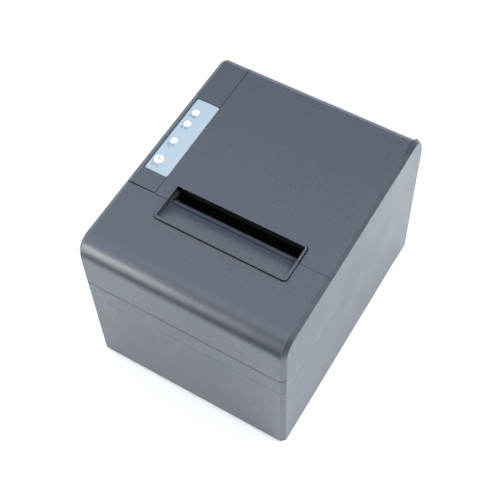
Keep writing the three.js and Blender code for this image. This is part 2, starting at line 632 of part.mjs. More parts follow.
function movingBlade() {
  const plan = [[-38, 17.5], [46, 17.5], [46, 59.6], [4, 56], [-38, 59.6]];
  const slotY = CRANK.y - CRANK.throw;
  const slot = box(CRANK.x - 7, CRANK.x + 7, slotY - 3, slotY + 3, 110, 130);
  return cut(planSlab(plan, BLADE_Z - 0.9, BLADE_Z), slot);
}

function fixedBlade() {
  const plan = [[-39.5, 65], [47.5, 65], [47.5, 76], [-39.5, 76]];
  return planSlab(plan, BLADE_Z + 0.4, BLADE_Z + 1.5);
}

function cutterMotor() {
  const body = rod('z', [CRANK.x, CRANK.y], 8.5, 82, 112, 28);
  const shoulder = rod('z', [CRANK.x, CRANK.y], 5, 111, 113, 20);
  const flange = box(CRANK.x - 11, CRANK.x + 11, CRANK.y - 3, CRANK.y + 3, 110.6, 112);
  return join(body, shoulder, flange);
}

function cutterCrank() {
  const disc = rod('z', [CRANK.x, CRANK.y], 6.6, 113.4, 117.4, 32);
  return disc.add(rod('z', [CRANK.x, CRANK.y - CRANK.throw], 1.5, 117, BLADE_Z + 1, 16));
}

// ---------------------------------------------------------------- lid latch
const RELEASE = { y0: 85, y1: 99, z0: 93, z1: 103 };

function latchHook() {
  const outline = [
    [LATCH.x - 2.5, 96], [LATCH.x + 1.5, 96], [LATCH.x + 3.2, LATCH.z - 3], [LATCH.x + 3.2, 116.4],
    [-49.6, 116.4], [-49.6, 118], [-52, 119.6], [LATCH.x + 1, 119.6], [LATCH.x - 3.2, LATCH.z + 2],
    [LATCH.x - 3.2, LATCH.z - 3],
  ];
  return cut(frontSlab(outline, LATCH.y0, LATCH.y1), rod('y', [LATCH.x, LATCH.z], 1.6, 80, 100, 16));
}

function latchPin() {
  return rod('y', [LATCH.x, LATCH.z], 1.3, LATCH.y0 - 3, LATCH.y1 + 3, 16);
}

function releaseButton() {
  const { y0, y1, z0, z1 } = RELEASE;
  const cap = box(-72.3, -67.5, y0, y1, z0, z1);
  const collar = box(-69.6, -68.2, y0 - 1.5, y1 + 1.5, z0 - 1.5, z1 + 1.5);
  const plunger = box(-69, -64.2, LATCH.y0, LATCH.y1, z0 + 3, z1 - 3);
  return join(cap, collar, plunger);
}

// ---------------------------------------------------------------- roll bucket
function rollBucket() {
  const { y, z, inner, outer, x0, x1 } = ROLL;
  const trough = (radius) => [
    [y - radius, z + 18], ...arc([y, z], [radius, radius], Math.PI, 2 * Math.PI, 24), [y + radius, z + 30],
  ];
  const outside = sideSlab(trough(outer), x0 - 2, x1 + 2);
  const flangeLeft = box(-51, x0 - 1, 88, 155, 96, 98);
  const flangeRight = box(x1 + 1, 59, 79, 155, 96, 98);
  const inside = sideSlab([[y - inner, z + 40], ...arc([y, z], [inner, inner], Math.PI, 2 * Math.PI, 24),
    [y + inner, z + 40]], x0, x1);
  const sensorWindow = box(
    x0 - 3, x0 + 1, SENSOR.y0 - GAP, SENSOR.y1 + GAP, SENSOR.z0 - GAP, SENSOR.z1 + GAP);
  return cut(join(outside, flangeLeft, flangeRight), inside, sensorWindow);
}

const SENSOR = { y0: 100, y1: 108, z0: 50, z1: 56 };

// Reflective sensor that looks through a window in the bucket's left plate.
function paperEndSensor() {
  const { y0, y1, z0, z1 } = SENSOR;
  const housing = box(ROLL.x0 - 5, ROLL.x0 - 2 - GAP, y0 - 2, y1 + 2, z0 - 2, z1 + 2);
  return housing.add(box(ROLL.x0 - 3, ROLL.x0 - GAP, y0, y1, z0, z1));
}

// ---------------------------------------------------------------- electronics
const BOARD_Z = 12;
const MAIN_BOARD = { x0: -40, x1: 48, y0: 92, y1: 172.5 };
const BOARD_POSTS = [[-34, 98], [42, 98], [-34, 150], [42, 150]];

function mainBoard() {
  const { x0, x1, y0, y1 } = MAIN_BOARD;
  const board = box(x0, x1, y0, y1, BOARD_Z, BOARD_Z + 1.6);
  const parts = [
    box(-14, 4, 112, 130, BOARD_Z + 1, BOARD_Z + 3.4),
    box(14, 26, 108, 120, BOARD_Z + 1, BOARD_Z + 3),
    box(-32, -24, 120, 136, BOARD_Z + 1, BOARD_Z + 5),
    box(-36, -8, 95, 101, BOARD_Z + 1, BOARD_Z + 8),
    box(0, 36, 95, 101, BOARD_Z + 1, BOARD_Z + 8),
    rod('z', [32, 132], 5, BOARD_Z + 1, BOARD_Z + 16, 20),
    rod('z', [20, 134], 4, BOARD_Z + 1, BOARD_Z + 13, 20),
  ];
  return join(board, ...parts);
}

// Connector blocks on the rear edge of the board; the mouth is a pocket open to the rear.
const CONNECTOR_Z = BOARD_Z + 1.6 + GAP;
const REAR_CONNECTORS = [
  { name: 'dc_inlet', x: -30, width: 14, height: 13, mouth: [9, 9], depth: 9, look: DARK_PLASTIC },
  { name: 'usb_port', x: -12, width: 12, height: 11, mouth: [8.4, 7.6], depth: 9, look: STEEL },
  { name: 'lan_port', x: 5, width: 16, height: 13.4, mouth: [11.8, 8], depth: 11, look: STEEL },
  { name: 'drawer_port', x: 21.5, width: 13, height: 12.6, mouth: [9.8, 7], depth: 11, look: DARK_PLASTIC },
  { name: 'serial_port', x: 38, width: 17, height: 11, mouth: [13, 6], depth: 5, look: STEEL },
];
const CONNECTOR_Y = [158, 176.6];

function connector({ x, width, height, mouth, depth }) {
  const body = box(x - width / 2, x + width / 2, ...CONNECTOR_Y, CONNECTOR_Z, CONNECTOR_Z + height);
  const centreZ = CONNECTOR_Z + height / 2;
  const pocket = box(x - mouth[0] / 2, x + mouth[0] / 2, CONNECTOR_Y[1] - depth, CONNECTOR_Y[1] + 1,
    centreZ - mouth[1] / 2, centreZ + mouth[1] / 2);
  return cut(body, pocket);
}

function interfacePlate() {
  const plate = box(
    INTERFACE.x0 + 0.4, INTERFACE.x1 - 0.4, 174.2, 175.4, INTERFACE.z0 + 0.4, INTERFACE.z1 - 0.4);
  const windows = REAR_CONNECTORS.map(({ x, width, height }) => box(
    x - width / 2 - GAP, x + width / 2 + GAP, 170, 180, CONNECTOR_Z - GAP, CONNECTOR_Z + height + GAP));
  return cut(plate, ...windows);
}

function controlBoard() {
  const board = box(-69, -55.5, 74, 130, 124, 125.4);
  const tact = box(INDICATOR_X - 3, INDICATOR_X + 3, FEED_BUTTON.y - 3, FEED_BUTTON.y + 3, 125, 127.2);
  const leds = INDICATORS.map(([, y]) => box(INDICATOR_X - 1, INDICATOR_X + 1, y - 1, y + 1, 125, 127));
  return join(board, tact, ...leds);
}

function labelSheet() {
  const { x0, x1, y0, y1, depth, thickness } = LABEL;
  const film = topSlab(x0, x1, y0, y1, depth - 0.1 - thickness, depth - 0.1);
  const outline = planSlab(roundedPlan(x0, x1, y0, y1, 1.4), 120, 140);
  let body = film.intersect(outline);
  for (const [, y] of INDICATORS) {
    body = body.subtract(rod('z', [INDICATOR_X, y], LENS_RADIUS + 0.1, 120, 140, 32));
  }
  return body.subtract(rod('z', [INDICATOR_X, FEED_BUTTON.y], FEED_BUTTON.radius + 0.15, 120, 140, 36));
}

function lens(y) {
  const top = topAt(y) - LABEL.depth + LABEL.thickness;
  return rod('z', [INDICATOR_X, y], LENS_RADIUS, top - 4, top, 32);
}

function feedButton() {
  const top = topAt(FEED_BUTTON.y) - LABEL.depth + LABEL.thickness + 0.9;
  const cap = rod('z', [INDICATOR_X, FEED_BUTTON.y], FEED_BUTTON.radius, top - 4.6, top - 0.4, 36);
  const crown = rod('z', [INDICATOR_X, FEED_BUTTON.y], FEED_BUTTON.radius, top - 0.4, top, 36,
    FEED_BUTTON.radius - 0.4);
  const stem = rod('z', [INDICATOR_X, FEED_BUTTON.y], 1.2, 128.7, top - 4, 12);
  return join(cap, crown, stem);
}

// ---------------------------------------------------------------- power switch
const ROCKER_TILT = THREE.MathUtils.degToRad(7);

function switchBody() {
  const halfLength = SWITCH.length / 2;
  const halfHeight = SWITCH.height / 2;
  const bezel = box(-73.3, -72.6, SWITCH.y - halfLength - 1, SWITCH.y + halfLength + 1,
    SWITCH.z - halfHeight - 1, SWITCH.z + halfHeight + 1);
  const body = box(-73, -58, SWITCH.y - halfLength, SWITCH.y + halfLength,
    SWITCH.z - halfHeight, SWITCH.z + halfHeight);
  const well = box(-75, -65, SWITCH.y - halfLength + 1.6, SWITCH.y + halfLength - 1.6,
    SWITCH.z - halfHeight + 1.4, SWITCH.z + halfHeight - 1.4);
  return cut(join(body, bezel), well);
}

// Rocker seen from above: two faces meeting in a shallow V, turned about a vertical pin.
function powerRocker() {
  const reach = SWITCH.length / 2 - 2.2;
  const plan = [
    [-0.6, -reach], [3.2, -2.6], [3.2, 2.6], [-0.6, reach], [-3.2, reach], [-2.1, 0], [-3.2, -reach],
  ];
  return planSlab(plan.reverse(), SWITCH.z - SWITCH.height / 2 + 1.8, SWITCH.z + SWITCH.height / 2 - 1.8);
}

// ---------------------------------------------------------------- feet and screws
const FOOT = { radius: 5 };
const FEET = [[-52, 22], [52, 22], [-52, 158], [52, 158]];

function foot([x, y]) {
  const pad = rod('z', [x, y], FOOT.radius, 0.5, FOOT_HEIGHT + 0.7, 20);
  return pad.add(rod('z', [x, y], FOOT.radius - 0.6, 0, 0.6, 20));
}

function caseScrew([x, y]) {
  const head = rod('z', [x, y], 2.9, 49.4, 51.7, 16);
  const shank = rod('z', [x, y], 1.4, 51, 70, 12);
  const drive = join(
    box(x - 1.8, x + 1.8, y - 0.4, y + 0.4, 49, 50.6),
    box(x - 0.4, x + 0.4, y - 1.8, y + 1.8, 49, 50.6));
  return cut(join(head, shank), drive);
}

// ---------------------------------------------------------------- the assembly
place('lower_case', drafted(lowerCase()), CASE_PLASTIC);
place('base_plate', basePlate(), CASE_PLASTIC);
place('upper_case', drafted(upperCase()), CASE_PLASTIC);
place('front_cover', drafted(frontCover()), CASE_PLASTIC);
place('paper_lid', drafted(paperLid()), CASE_PLASTIC);
place('lid_liner', lidLiner(), DARK_PLASTIC);
place('hinge_pin_left', rod('x', [hingeY, hingeZ], 2.5, -57, -47.5, 16), STEEL);
place('hinge_pin_right', rod('x', [hingeY, hingeZ], 2.5, 65.5, 70.8, 16), STEEL);

const tearBarMesh = place('tear_bar', tearBar(), BLADE_STEEL);
tearBarMesh.position.set(0, PLATE.y1, topAt(PLATE.y1) - PLATE.depth1 + 0.55);
tearBarMesh.rotation.x = plateAngle;

place('control_label', labelSheet(), LABEL_FILM);
place('feed_button', feedButton(), LENS);
for (const [name, y] of INDICATORS) place(name, lens(y), LENS);
place('control_board', controlBoard(), BOARD);

place('platen_shaft', platenShaft(), STEEL);
place('platen_roller', platenRoller(), RUBBER);
place('platen_bushing_left', bushing(-46, -43), ACETAL);
place('platen_bushing_right', bushing(51, 54), ACETAL);
place('platen_gear', gear(TEETH.platen, [PLATEN.y, PLATEN.z], platenPhase, 2.05), ACETAL);
place('idler_gear', gear(TEETH.idler, idler, idlerPhase, 1.4), ACETAL);
place('idler_pin', rod('x', idler, 1.1, -50, -43.6, 12), STEEL);
place('motor_pinion', motorPinion(), BRASS);

place('mechanism_frame', mechanismFrame(), STEEL);
place('print_head', printHead(), DARK_PLASTIC, headGroup);
place('head_heatsink', headHeatsink(), ALUMINIUM, headGroup);
place('head_spring_left', headSpring(PAPER_X - 20), STEEL);
place('head_spring_right', headSpring(PAPER_X + 20), STEEL);
place('feed_motor', feedMotor(), MOTOR_BLACK);

place('cutter_tray', cutterTray(), STEEL);
place('moving_blade', movingBlade(), BLADE_STEEL);
place('fixed_blade', fixedBlade(), BLADE_STEEL);
place('cutter_motor', cutterMotor(), MOTOR_BLACK);
place('cutter_crank', cutterCrank(), ACETAL);

place('latch_hook', latchHook(), DARK_PLASTIC);
place('latch_pin', latchPin(), STEEL);
place('release_button', releaseButton(), DARK_PLASTIC);
place('roll_bucket', rollBucket(), DARK_PLASTIC);
place('paper_end_sensor', paperEndSensor(), DARK_PLASTIC);

place('main_board', mainBoard(), BOARD);
for (const port of REAR_CONNECTORS) place(port.name, connector(port), port.look);
place('interface_plate', interfacePlate(), STEEL);

place('switch_body', switchBody(), DARK_PLASTIC);
const rocker = place('power_rocker', powerRocker(), DARK_PLASTIC);
rocker.position.set(-68.9, SWITCH.y, 0);
rocker.rotation.z = ROCKER_TILT;

const CORNERS = ['front_left', 'front_right', 'rear_left', 'rear_right'];
CORNERS.forEach((corner, i) => {
  place(`foot_${corner}`, foot(FEET[i]), RUBBER);
  place(`case_screw_${corner}`, caseScrew(CORNER_BOSSES[i]), STEEL);
});

export default printer;
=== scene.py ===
"""Looks of a desktop receipt printer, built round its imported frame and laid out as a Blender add-on."""

import json
import math

import bmesh
import bpy
from mathutils import Matrix, Vector
from mathutils.bvhtree import BVHTree


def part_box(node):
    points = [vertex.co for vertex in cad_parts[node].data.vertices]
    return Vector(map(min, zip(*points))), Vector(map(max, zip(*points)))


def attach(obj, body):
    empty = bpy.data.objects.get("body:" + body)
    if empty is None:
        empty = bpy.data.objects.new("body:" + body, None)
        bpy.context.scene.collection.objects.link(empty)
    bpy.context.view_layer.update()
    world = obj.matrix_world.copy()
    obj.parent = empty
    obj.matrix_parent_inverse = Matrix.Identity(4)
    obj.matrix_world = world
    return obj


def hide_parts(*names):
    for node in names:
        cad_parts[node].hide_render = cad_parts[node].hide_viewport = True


bl_info = {
    "name": "Receipt Printer Looks",
    "version": (1, 0, 0),
    "blender": (4, 5, 0),
    "location": "View3D > Sidebar > Receipt Printer",
    "description": "Finishes and fine parts of a desktop receipt printer",
    "category": "Object",
}

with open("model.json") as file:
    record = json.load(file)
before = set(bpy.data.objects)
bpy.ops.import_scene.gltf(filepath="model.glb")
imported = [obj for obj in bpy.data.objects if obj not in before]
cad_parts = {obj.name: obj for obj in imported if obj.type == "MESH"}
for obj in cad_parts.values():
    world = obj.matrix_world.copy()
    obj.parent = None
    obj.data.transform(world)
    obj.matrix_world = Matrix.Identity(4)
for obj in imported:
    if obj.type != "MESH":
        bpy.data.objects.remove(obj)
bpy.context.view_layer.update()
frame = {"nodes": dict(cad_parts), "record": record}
NODES = frame["nodes"]
MM = 0.001
MERGE_GAP = 0.002 * MM               # points of a CAD copy closer than this become one
FLAT_ANGLE = math.radians(0.6)       # faces of a CAD copy within this angle become one
BEVEL_ANGLE = math.radians(28)       # edges sharper than this are rounded
CURVE_ANGLE = math.radians(50)       # rounded faces that meet below this are shaded as one curve
CAD_CURVE_ANGLE = math.radians(30)   # the same on pieces that keep their sharp edges
BLADE_ROUND = 0.1 * MM               # ground and formed metal edges
MOTTLE_SIZE = 35 * MM                # width of the broad, faint unevenness in a sheen
INK = 0.03 * MM                      # thickness of a printed line
LINE = 0.3                           # width of a printed line, in millimetres


# ---------------------------------------------------------------- sizes and colours a user would change
class CaseSizes(bpy.types.PropertyGroup):
    """Edge rounding of the moulded parts"""

    edge_round: bpy.props.FloatProperty(
        name="Edge rounding", description="Radius on the edges of the case mouldings",
        default=0.22 * MM, min=0.0, unit="LENGTH", precision=5,
    )
    small_round: bpy.props.FloatProperty(
        name="Small rounding", description="Radius on the edges of small and inner parts",
        default=0.15 * MM, min=0.0, unit="LENGTH", precision=5,
    )
    grain: bpy.props.FloatProperty(
        name="Grain size", description="Width of one pit of the spark-eroded case texture, drawn coarse",
        default=0.75 * MM, min=0.05 * MM, unit="LENGTH", precision=5,
    )


class FinishColours(bpy.types.PropertyGroup):
    """Base colours of the main finishes, as sRGB hex"""

    case: bpy.props.StringProperty(
        name="Case plastic", description="Charcoal of the case mouldings", default="3b404a")
    inner: bpy.props.StringProperty(
        name="Inner plastic", description="Black of the inner mouldings", default="1c1d20")
    label: bpy.props.StringProperty(
        name="Label film", description="Pale blue of the control label", default="8e9eaa")
    floor: bpy.props.StringProperty(
        name="Floor", description="Studio floor", default="fcfdfd")


class StageSettings(bpy.types.PropertyGroup):
    """Camera and studio light"""

    azimuth: bpy.props.FloatProperty(
        name="Camera azimuth", description="Turn of the camera round the printer, from its front",
        default=math.radians(32.61), subtype="ANGLE")
    elevation: bpy.props.FloatProperty(
        name="Camera elevation", description="Height of the camera above the horizon",
        default=math.radians(57.61), subtype="ANGLE")
    roll: bpy.props.FloatProperty(
        name="Camera roll", description="Turn of the camera about its own axis",
        default=math.radians(-2.335), subtype="ANGLE")
    distance: bpy.props.FloatProperty(
        name="Camera distance", description="From the aim point to the lens",
        default=0.6877, unit="LENGTH")
    aim: bpy.props.FloatVectorProperty(
        name="Aim point", description="Point that the camera looks at",
        default=(-0.00003, -0.00935, 0.0725), subtype="TRANSLATION")
    lens: bpy.props.FloatProperty(
        name="Focal length", description="Lens in millimetres on a 36 mm sensor", default=74.44)
    ambient: bpy.props.FloatProperty(
        name="Ambient light", description="Strength of the studio's even light", default=0.12)


# ---------------------------------------------------------------- colour and material helpers
def linear(code):
    """sRGB hex text to a linear RGBA colour."""
    channels = [int(code[i:i + 2], 16) / 255 for i in (0, 2, 4)]
    return [c / 12.92 if c <= 0.04045 else ((c + 0.055) / 1.055) ** 2.4 for c in channels] + [1.0]


def add_node(tree, kind, settings=None, inputs=None):
    """Add one node; an input given as (node, output name) is linked, and any other is a value."""
    node = tree.nodes.new(kind)
    for name, value in (settings or {}).items():
        setattr(node, name, value)
    for name, value in (inputs or {}).items():
        socket = node.inputs[name]
        if isinstance(value, tuple) and isinstance(value[0], bpy.types.Node):
            tree.links.new(value[0].outputs[value[1]], socket)
        else:
            socket.default_value = value
    return node


MATERIALS = {}


def surface(name, code, roughness, metallic=0.0, ior=1.5, grain=0.5, height=0.02, shade=0.06,
            wear=0.05, stretch=(1.0, 1.0, 1.0), extra=None):
    """A surface with a fine pattern: grain and height in millimetres, shade and wear as shares."""
    if name in MATERIALS:
        return MATERIALS[name]
    made = bpy.data.materials.new(name)
    made.use_nodes = True
    tree = made.node_tree
    tree.nodes.clear()
    colour = linear(code)
    place = add_node(tree, "ShaderNodeTexCoord")
    turned = add_node(tree, "ShaderNodeMapping", None, {
        "Vector": (place, "Object"), "Scale": stretch})
    fine = add_node(tree, "ShaderNodeTexNoise", None, {
        "Vector": (turned, "Vector"), "Scale": 1 / (grain * MM), "Detail": 3.0, "Roughness": 0.6})
    broad = add_node(tree, "ShaderNodeTexNoise", None, {
        "Vector": (place, "Object"), "Scale": 1 / MOTTLE_SIZE, "Detail": 4.0, "Roughness": 0.55})
    darker = [c * (1 - shade) for c in colour[:3]] + [1.0]
    lighter = [min(1.0, c * (1 + shade)) for c in colour[:3]] + [1.0]
    tone = add_node(tree, "ShaderNodeMix", {"data_type": "RGBA"})
    tree.links.new(fine.outputs["Fac"], tone.inputs[0])
    tone.inputs[6].default_value = darker
    tone.inputs[7].default_value = lighter
    mottle = add_node(tree, "ShaderNodeMath", {"operation": "ADD"})
    tree.links.new(fine.outputs["Fac"], mottle.inputs[0])
    tree.links.new(broad.outputs["Fac"], mottle.inputs[1])
    rough = add_node(tree, "ShaderNodeMapRange", None, {
        "Value": (mottle, "Value"), "From Min": 0.7, "From Max": 1.3,
        "To Min": roughness * (1 - wear), "To Max": roughness * (1 + wear)})
    bump = add_node(tree, "ShaderNodeBump", None, {
        "Height": (fine, "Fac"), "Distance": height * MM, "Strength": 1.0})
    inputs = {
        "Roughness": (rough, "Result"), "Normal": (bump, "Normal"),
        "Metallic": metallic, "IOR": ior,
    }
    inputs.update(extra or {})
    shader = add_node(tree, "ShaderNodeBsdfPrincipled", None, inputs)
    tree.links.new(tone.outputs[2], shader.inputs["Base Color"])
    add_node(tree, "ShaderNodeOutputMaterial", None, {"Surface": (shader, "BSDF")})
    MATERIALS[name] = made
    return made


def charcoal_abs():
    # moulded ABS with a fine spark-eroded texture: dark, with a soft grey sheen at low angles;
    # its 0.1 mm pits are drawn at 0.75 mm, as coarse as they need to show
    sizes = bpy.context.scene.printer_case
    return surface("charcoal_abs_spark_eroded", bpy.context.scene.printer_finish.case, 0.29,
                   ior=1.52, grain=sizes.grain / MM, height=0.14, shade=0.22, wear=0.13)


def black_plastic():
    # black glass-filled nylon, smoother than the case
    return surface("black_nylon_moulded", bpy.context.scene.printer_finish.inner, 0.5,
                   ior=1.53, grain=0.7, height=0.02, shade=0.12)


def sheet_steel():
    # cold-rolled sheet with a bright zinc plating, faintly streaked along the rolling direction
    return surface("zinc_plated_sheet_steel", "b9bcc0", 0.34, metallic=1.0, grain=0.8, height=0.004,
                   shade=0.05, wear=0.2, stretch=(0.12, 1.0, 1.0))


def blade_steel():
    # ground stainless strip: long fine scratches across the blade
    return surface("ground_stainless_steel", "c9ccd0", 0.26, metallic=1.0, grain=0.25, height=0.003,
                   shade=0.06, wear=0.15, stretch=(1.0, 0.08, 1.0))


def shade_and_flag_black():
    # flat black with no sheen: painted shade in the paper slot, and the card of the studio flag
    return surface("painted_shade_and_flag_black", "030304", 1.0, ior=1.15, grain=0.3, height=0.02, shade=0.1)


def dark_blade_slot_shade():
    # steel drawn near black with a low metallic sheen: painted shade on the fixed blade at the back of the
    # paper slot
    return surface("dark_steel_painted_slot_shade", "1b1c1f", 0.4, metallic=0.6, grain=0.4, height=0.003,
                   shade=0.06, stretch=(0.1, 1.0, 1.0))


def rubber():
    # moulded nitrile rubber: near black and dull
    return surface("nitrile_rubber", "1b1b1c", 0.86, ior=1.52, grain=0.35, height=0.03, shade=0.1)


def acetal():
    # natural acetal: milky white and slightly waxy
    return surface("natural_acetal", "e4e1d8", 0.4, ior=1.48, grain=0.9, height=0.006, shade=0.02,
                   extra={"Subsurface Weight": 0.08, "Subsurface Radius": (0.002, 0.002, 0.002)})


def solder_mask():
    # glass-epoxy board under green solder mask
    return surface("green_solder_mask", "14532f", 0.36, ior=1.55, grain=1.4, height=0.012, shade=0.12,
                   extra={"Coat Weight": 0.3, "Coat Roughness": 0.2})


def brass():
    # turned brass
    return surface("turned_brass", "c8a14d", 0.3, metallic=1.0, grain=0.3, height=0.003, shade=0.05)


def label_film():
    # polycarbonate overlay printed on its back, with a velvet front
    return surface("printed_polycarbonate_film", bpy.context.scene.printer_finish.label, 0.38,
                   ior=1.58, grain=0.3, height=0.006, shade=0.015,
                   extra={"Coat Weight": 0.25, "Coat Roughness": 0.3})


def lens_plastic():
    # milky polycarbonate light pipe
    return surface("milky_polycarbonate", "dcdfe2", 0.24, ior=1.58, grain=0.6, height=0.003,
                   shade=0.01, extra={"Subsurface Weight": 0.2, "Subsurface Radius": (0.002, 0.002, 0.003)})


def aluminium():
    # extruded aluminium, drawn lines along its length
    return surface("extruded_aluminium", "b4b7bb", 0.36, metallic=1.0, grain=0.4, height=0.006,
                   shade=0.05, wear=0.15, stretch=(0.08, 1.0, 1.0))


def motor_enamel():
    # steel can under thin black enamel
    return surface("black_enamelled_steel", "202124", 0.42, ior=1.5, grain=0.8, height=0.01, shade=0.08,
                   extra={"Coat Weight": 0.4, "Coat Roughness": 0.25})


def chip_epoxy():
    # moulded epoxy of a chip package, dull black
    return surface("chip_epoxy", "1c1d1e", 0.55, ior=1.55, grain=0.3, height=0.008, shade=0.08)


def nylon():
    # natural nylon of plug housings, ivory and slightly waxy
    return surface("natural_nylon", "d9d4c4", 0.45, ior=1.53, grain=0.7, height=0.006, shade=0.02)


def legend_ink():
    # screen-printed dark blue-grey ink
    return surface("screen_printed_ink", "3a4450", 0.6, ior=1.5, grain=0.3, height=0.002, shade=0.03)


def gold_plating():
    # gold flash on spring contacts
    return surface("gold_plated_contact", "d8b25a", 0.24, metallic=1.0, grain=0.3, height=0.002,
                   shade=0.04)


def green_lamp():
    # green diffused lamp window of the network socket
    return surface("green_lamp_window", "5fae62", 0.3, ior=1.5, grain=0.4, height=0.002, shade=0.03)


def amber_lamp():
    # amber diffused lamp window of the network socket
    return surface("amber_lamp_window", "d69a3c", 0.3, ior=1.5, grain=0.4, height=0.002, shade=0.03)


def glazed_ceramic():
    # alumina with a dark glass glaze
    return surface("glazed_alumina", "4a4640", 0.14, ior=1.6, grain=1.2, height=0.002, shade=0.05)


SLOT_FINISH = {
    "case_plastic": charcoal_abs, "inner_plastic": black_plastic, "sheet_steel": sheet_steel,
    "blade_steel": blade_steel, "rubber": rubber, "acetal": acetal, "board": solder_mask,
    "brass": brass, "label_film": label_film, "lens_plastic": lens_plastic, "aluminium": aluminium,
    "motor_case": motor_enamel, "ceramic": glazed_ceramic,
}
NODE_SLOT = {part["node"]: part["material_slot"] for part in frame["record"]["subparts"]}
NODE_BODY = {
    node: body for body, members in frame["record"]["behaviour"]["bodies"].items() for node in members
}


# ---------------------------------------------------------------- modelling helpers
def deselect_all():
    if bpy.context.object and bpy.context.object.mode != "OBJECT":
        bpy.ops.object.mode_set(mode="OBJECT")
    bpy.ops.object.select_all(action="DESELECT")


def make_active(piece):
    deselect_all()
    piece.select_set(True)
    bpy.context.view_layer.objects.active = piece


def finish_piece(piece, node_or_body, material):
    """Give a finished piece its material, body and slot."""
    piece.data.materials.clear()
    piece.data.materials.append(material)
    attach(piece, NODE_BODY.get(node_or_body, node_or_body))


def round_edges(piece, width, segments=2):
    """Round the piece's sharp edges with an applied bevel, and smooth its curved faces."""
    make_active(piece)
    bevel = piece.modifiers.new("edge_round", "BEVEL")
    bevel.width = width
    bevel.segments = segments
    bevel.limit_method = "ANGLE"
    bevel.angle_limit = BEVEL_ANGLE
    bevel.use_clamp_overlap = True
    bevel.miter_outer = "MITER_ARC"
    bpy.ops.object.modifier_apply(modifier=bevel.name)
    bpy.ops.object.shade_smooth_by_angle(angle=CURVE_ANGLE)
    level = piece.modifiers.new("flat_face_normals", "WEIGHTED_NORMAL")
    level.mode = "FACE_AREA"
    level.weight = 100
    level.keep_sharp = True
    bpy.ops.object.modifier_apply(modifier=level.name)


def shift_points(piece, low, high, shift):
    """In edit mode, move the points inside a box."""
    mesh = bmesh.from_edit_mesh(piece.data)
    bpy.ops.mesh.select_all(action="DESELECT")
    for point in mesh.verts:
        point.select_set(all(low[axis] <= point.co[axis] <= high[axis] for axis in range(3)))
    bmesh.update_edit_mesh(piece.data)
    bpy.ops.transform.translate(value=shift)


def softened(node, name, width, segments=2, clean=True, shifts=()):
    """A copy of a CAD node with clean faces and rounded edges, which stands for that node."""
    source = NODES[node]
    piece = bpy.data.objects.new(name, source.data.copy())
    bpy.context.scene.collection.objects.link(piece)
    make_active(piece)
    bpy.ops.object.mode_set(mode="EDIT")
    bpy.ops.mesh.select_all(action="SELECT")
    bpy.ops.mesh.remove_doubles(threshold=MERGE_GAP)
    if clean:
        bpy.ops.mesh.dissolve_limited(angle_limit=FLAT_ANGLE)
    for low, high, shift in shifts:
        shift_points(piece, low, high, shift)
    bpy.ops.object.mode_set(mode="OBJECT")
    if width:
        round_edges(piece, width, segments)
    else:
        bpy.ops.object.shade_smooth_by_angle(angle=CAD_CURVE_ANGLE)
    slot = NODE_SLOT[node]
    finish_piece(piece, node, SLOT_FINISH[slot]())
    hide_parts(node)
    return piece


def middle(node):
    low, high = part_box(node)
    return (low + high) / 2


def paint(piece, material, low, high):
    """Give a second material to the faces whose centres lie in a box."""
    piece.data.materials.append(material)
    index = len(piece.data.materials) - 1
    for face in piece.data.polygons:
        if all(low[axis] <= face.center[axis] <= high[axis] for axis in range(3)):
            face.material_index = index


def paint_seam_shade(pieces, reach=2.5 * MM):
    """Paint the faces that look at each other across a seam with the black of the inner mouldings: painted
    shade in the seams.
    """
    trees = [BVHTree.FromPolygons([v.co for v in piece.data.vertices],
                                  [face.vertices for face in piece.data.polygons]) for piece in pieces]
    for piece in pieces:
        mesh = piece.data
        # the inner black stands in for the shade inside each seam: painted shade
        mesh.materials.append(black_plastic())
        index = len(mesh.materials) - 1
        mesh.calc_loop_triangles()
        facing = [0.0] * len(mesh.polygons)
        for triangle in mesh.loop_triangles:
            corners = [mesh.vertices[i].co for i in triangle.vertices]
            start = sum(corners, Vector()) / 3 + triangle.normal * 0.02 * MM
            if any(tree.ray_cast(start, triangle.normal, reach)[0] for tree in trees):
                facing[triangle.polygon_index] += triangle.area
        for face in mesh.polygons:
            if facing[face.index] > face.area / 2:
                face.material_index = index


def bake_place(piece):
    make_active(piece)
    bpy.ops.object.transform_apply(location=True, rotation=True, scale=True)
    return piece


def joined(name, pieces):
    """Join like pieces into one."""
    deselect_all()
    for piece in pieces:
        piece.select_set(True)
    bpy.context.view_layer.objects.active = pieces[0]
    if len(pieces) > 1:
        bpy.ops.object.join()
    whole = pieces[0]
    whole.name = name
    return whole


def select_faces(piece, direction):
    """In edit mode, select only the faces that look along a direction."""
    mesh = bmesh.from_edit_mesh(piece.data)
    for face in mesh.faces:
        face.select_set(face.normal.dot(Vector(direction)) > 0.9)
    bmesh.update_edit_mesh(piece.data)


def block(name, low, high, width, segments=2):
    """A moulded block with rounded edges."""
    deselect_all()
    centre = [(a + b) / 2 for a, b in zip(low, high)]
    size = [b - a for a, b in zip(low, high)]
    bpy.ops.mesh.primitive_cube_add(size=1, location=centre, scale=size)
    piece = bpy.context.object
    piece.name = name
    bake_place(piece)
    round_edges(piece, width, segments)
    return piece


def pin(tip, radius, length):
    """A round contact pin that points to the rear, with a rounded nose."""
    deselect_all()
    x, y, z = tip
    bpy.ops.mesh.primitive_cylinder_add(
        vertices=12, radius=radius, depth=length, rotation=(math.pi / 2, 0, 0),
        location=(x, y - length / 2 - 2 * MM, z))
    piece = bake_place(bpy.context.object)
    round_edges(piece, radius * 0.5)
    return piece


